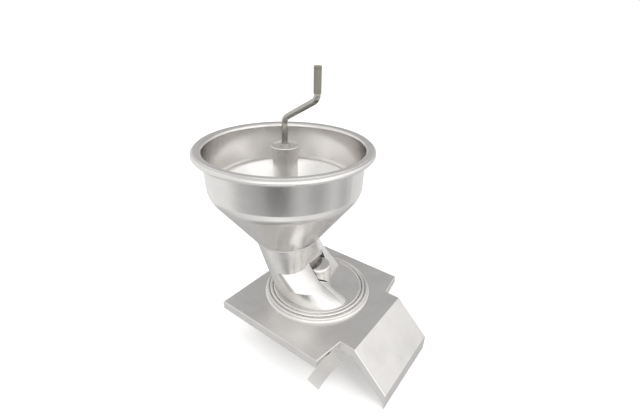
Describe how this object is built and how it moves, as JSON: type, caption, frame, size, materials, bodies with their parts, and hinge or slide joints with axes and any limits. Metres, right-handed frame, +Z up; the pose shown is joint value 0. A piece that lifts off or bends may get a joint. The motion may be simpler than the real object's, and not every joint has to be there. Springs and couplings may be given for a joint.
{
  "type": "potato ricer",
  "caption": "Hopper-fed potato ricer head: folded cover plate with apron, lift-out lid with slanted feed tube and round hopper, hand crank agitator, ricing rotor over a perforated grid.",
  "frame": {"origin": "on the rotor's axis, in the drive socket, in the plane of the cover plate's skirt edge", "axes": "+Z up along the rotor axis, +X towards the sloping apron, +Y to the far side"},
  "size_m": [0.4999, 0.3858, 0.6327],
  "materials": {
    "gasket": "matt black food-grade rubber",
    "bush": "off-white low-friction bearing plastic",
    "cover_sheet": "satin stainless sheet",
    "polished_steel": "bright polished stainless",
    "dark_cap": "darker fine-turned stainless",
    "crank_steel": "worn satin round bar",
    "satin_steel": "satin stainless"
  },
  "bodies": {
    "base": {"cover_plate": "cover_sheet", "collar_ring": "polished_steel", "chamber_drum": "satin_steel", "grid_pegs": "satin_steel", "ricing_grid": "satin_steel", "drum_studs": "satin_steel", "drum_nuts": "satin_steel", "bearing_spider": "satin_steel", "lower_bush": "bush", "lid_gasket": "gasket", "latch_bracket": "satin_steel"},
    "rotor": {"rotor_shaft": "satin_steel", "rotor_circlip": "satin_steel", "rotor_pin": "satin_steel", "rotor_hub": "satin_steel", "rotor_washer": "bush", "rotor_blade_1": "satin_steel", "rotor_blade_2": "satin_steel", "rotor_blade_3": "satin_steel"},
    "head": {"lid_plate": "polished_steel", "feed_tube": "polished_steel", "recess_wall": "polished_steel", "bearing_drum": "polished_steel", "journal_bush": "bush", "hopper_bowl": "polished_steel", "post_spider": "satin_steel", "post": "satin_steel", "column_washer": "bush"},
    "crank": {"agitator_column": "satin_steel", "column_collar": "satin_steel", "column_cap": "dark_cap", "column_bush_lower": "bush", "column_bush_upper": "bush", "agitator_arm_1": "satin_steel", "agitator_arm_2": "satin_steel", "agitator_arm_3": "satin_steel", "crank_rod": "crank_steel", "crank_boss": "crank_steel", "grip_cap": "crank_steel"},
    "grip": {"grip_sleeve": "crank_steel"},
    "latch": {"latch_lever": "satin_steel", "latch_spindle": "satin_steel", "latch_hook": "satin_steel"}
  },
  "joints": [
    {"name": "rotor_spin", "type": "hinge", "parent": "base", "child": "rotor", "pos_m": [0, 0, 0], "axis": [0, 0, 1], "continuous": true},
    {"name": "head_lift", "type": "slide", "parent": "base", "child": "head", "axis": [0, 0, 1], "range_m": [0, 0.12]},
    {"name": "crank_turn", "type": "hinge", "parent": "head", "child": "crank", "pos_m": [-0.0584, -0.043, 0.2], "axis": [0, 0, 1], "continuous": true},
    {"name": "grip_spin", "type": "hinge", "parent": "crank", "child": "grip", "pos_m": [0.0216, -0.043, 0.51], "axis": [0, 0, 1], "continuous": true},
    {"name": "latch_turn", "type": "hinge", "parent": "base", "child": "latch", "pos_m": [0.13935, -0.14119, 0.0085], "axis": [-0.9901, 0.1402, 0], "range_deg": [0, 70]}
  ]
}
